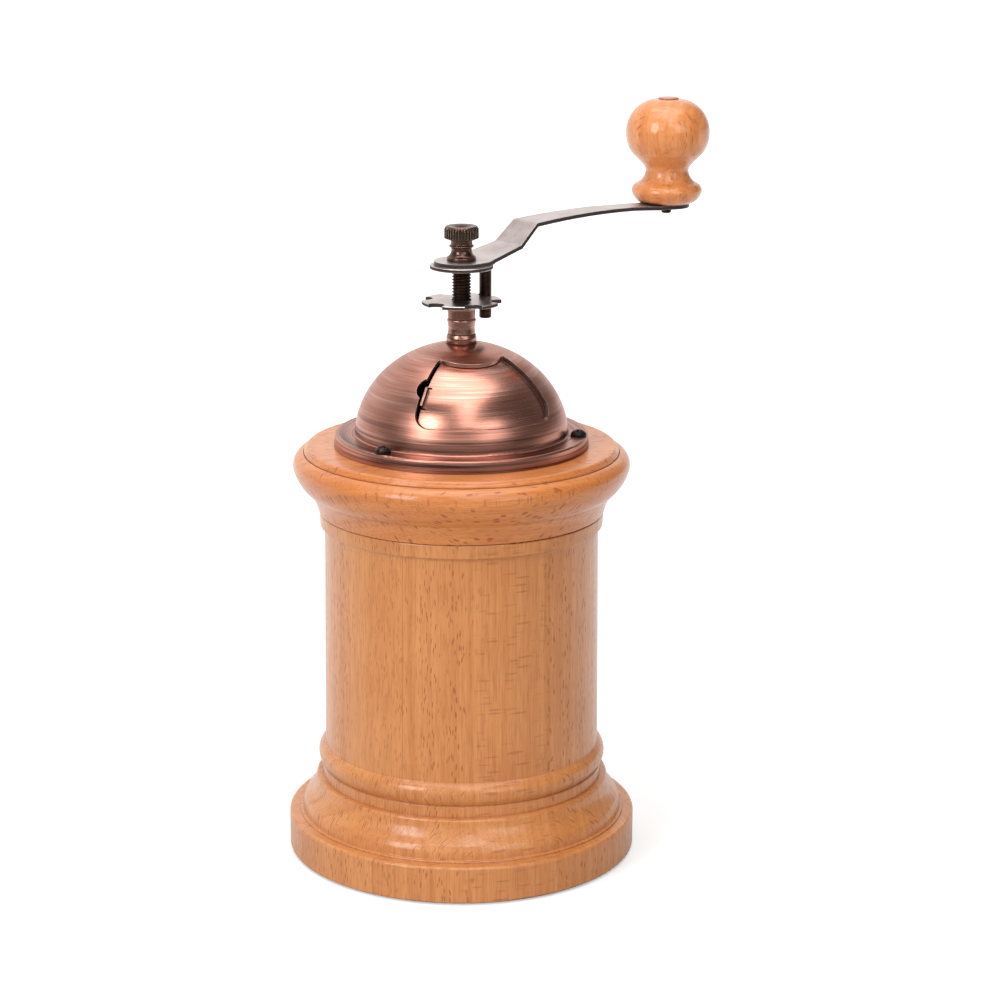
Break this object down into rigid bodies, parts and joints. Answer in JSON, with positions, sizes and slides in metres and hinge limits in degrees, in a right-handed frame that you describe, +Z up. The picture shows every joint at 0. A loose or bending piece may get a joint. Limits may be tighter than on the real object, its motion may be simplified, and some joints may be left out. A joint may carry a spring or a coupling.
{
  "type": "hand crank coffee mill",
  "caption": "Free-standing turned-wood column coffee mill with a metal dome, sliding filling shutter, conical burrs and a top crank with a wooden knob.",
  "frame": {"origin": "centre of the felt's resting face, on the spindle's axis", "axes": "+Z up along the spindle; -Y towards the filling window"},
  "size_m": [0.1236, 0.0928, 0.1959],
  "materials": {
    "beech": "satin lacquered",
    "knob_beech": "gloss lacquered",
    "copper_finish": "brushed antique copper plate",
    "dark_steel": "blackened",
    "plain_steel": "zinc plated",
    "burr_steel": "ground and hardened",
    "casting": "as cast",
    "felt": "pressed felt"
  },
  "bodies": {
    "receiver": {"column_body": "beech", "base_felt": "felt"},
    "mill_head": {"wood_collar": "beech", "dome_cover": "copper_finish", "flange_screws": "dark_steel", "upper_bushing": "copper_finish", "bushing_nut": "plain_steel", "shutter_washer": "plain_steel", "hopper_funnel": "plain_steel", "burr_carrier": "casting", "carrier_screws": "plain_steel", "outer_burr": "burr_steel"},
    "shutter_door": {"shutter": "copper_finish"},
    "adjuster": {"star_nut": "copper_finish", "thrust_collar": "copper_finish"},
    "crank": {"spindle": "dark_steel", "inner_burr": "burr_steel", "drive_pin": "plain_steel", "burr_washer": "plain_steel", "burr_nut": "plain_steel", "spring_washer": "plain_steel", "burr_spring": "plain_steel", "stopper_plate": "copper_finish", "stop_post": "dark_steel", "crank_arm": "copper_finish", "thumb_nut": "copper_finish", "knob_pin": "dark_steel"},
    "grip": {"knob": "knob_beech", "knob_plug": "knob_beech"}
  },
  "joints": [
    {"name": "head_lift", "type": "slide", "parent": "receiver", "child": "mill_head", "axis": [0, 0, 1], "range_m": [0, 0.06]},
    {"name": "shutter_turn", "type": "hinge", "parent": "mill_head", "child": "shutter_door", "pos_m": [0, 0, 0.135], "axis": [0, 0, 1], "range_deg": [0, 78]},
    {"name": "crank_turn", "type": "hinge", "parent": "mill_head", "child": "adjuster", "pos_m": [0, 0, 0.148], "axis": [0, 0, 1], "continuous": true},
    {"name": "grind_setting", "type": "slide", "parent": "adjuster", "child": "crank", "axis": [0, 0, 1], "range_m": [-0.0006, 0.0004], "deforming": ["burr_spring"]},
    {"name": "knob_spin", "type": "hinge", "parent": "crank", "child": "grip", "pos_m": [0.06587, 0.02595, 0.18], "axis": [0, 0, 1], "continuous": true}
  ]
}
